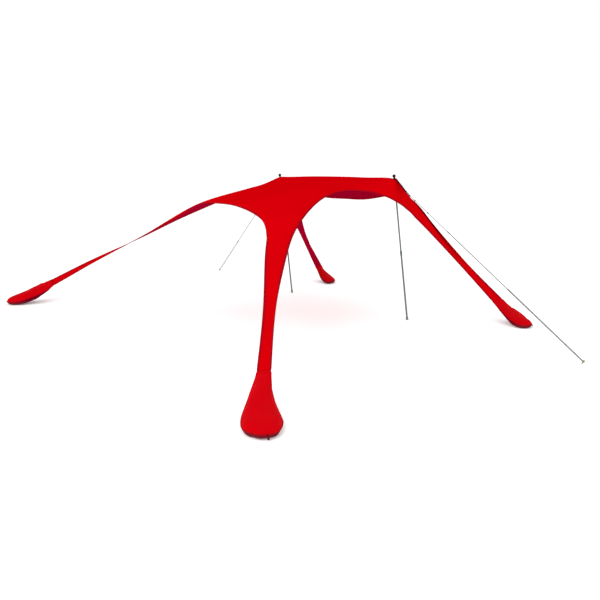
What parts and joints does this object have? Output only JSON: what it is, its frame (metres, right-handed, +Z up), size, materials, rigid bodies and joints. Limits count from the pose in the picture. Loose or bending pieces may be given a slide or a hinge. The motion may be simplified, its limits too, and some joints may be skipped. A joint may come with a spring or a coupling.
{
  "type": "stretch tent",
  "caption": "Stretched fabric canopy with long tapering ribbon legs that end in sandbags, raised on slim metal poles and stayed by guy lines.",
  "frame": {"origin": "middle of the footprint at ground level", "axes": "+X along the line of the poles and guy lines, -Y towards the side of the long legs, +Z up"},
  "size_m": [8.2123, 5.4845, 2.0448],
  "materials": {
    "canopy_fabric": "smooth stretch knit with a slight sheen",
    "bag_fabric": "smooth stretch knit with a slight sheen",
    "webbing": "woven, matt",
    "patch_fabric": "woven, matt",
    "pole_metal": "satin",
    "sleeve_metal": "satin",
    "foot_rubber": "matt",
    "knob_plastic": "semi-gloss",
    "ring_metal": "satin",
    "guy_cord": "braided",
    "runner_plastic": "matt",
    "stake_metal": "worn"
  },
  "bodies": {
    "root": {"roof_panel": "canopy_fabric", "leg_front_left": "canopy_fabric", "leg_front_right": "canopy_fabric", "leg_rear_left": "canopy_fabric", "leg_rear_right": "canopy_fabric", "sandbag_front_left": "bag_fabric", "sandbag_front_right": "bag_fabric", "sandbag_rear_left": "bag_fabric", "sandbag_rear_right": "bag_fabric", "toe_loop_front_left": "webbing", "toe_loop_front_right": "webbing", "toe_loop_rear_left": "webbing", "toe_loop_rear_right": "webbing", "pole_foot_left": "foot_rubber", "pole_foot_right": "foot_rubber", "pole_lower_left": "pole_metal", "pole_lower_right": "pole_metal", "pole_sleeve_left": "sleeve_metal", "pole_sleeve_right": "sleeve_metal", "pole_upper_left": "pole_metal", "pole_upper_right": "pole_metal", "tip_patch_left": "patch_fabric", "tip_patch_right": "patch_fabric", "tip_knob_left": "knob_plastic", "tip_knob_right": "knob_plastic", "guy_collar_left": "webbing", "guy_collar_right": "webbing", "guy_strap_left": "webbing", "guy_strap_right": "webbing", "guy_ring_left": "ring_metal", "guy_ring_right": "ring_metal", "guy_cord_left": "guy_cord", "guy_cord_right": "guy_cord", "guy_runner_left": "runner_plastic", "guy_runner_right": "runner_plastic", "guy_loop_left": "guy_cord", "guy_loop_right": "guy_cord", "stake_left": "stake_metal", "stake_right": "stake_metal"}
  },
  "joints": []
}
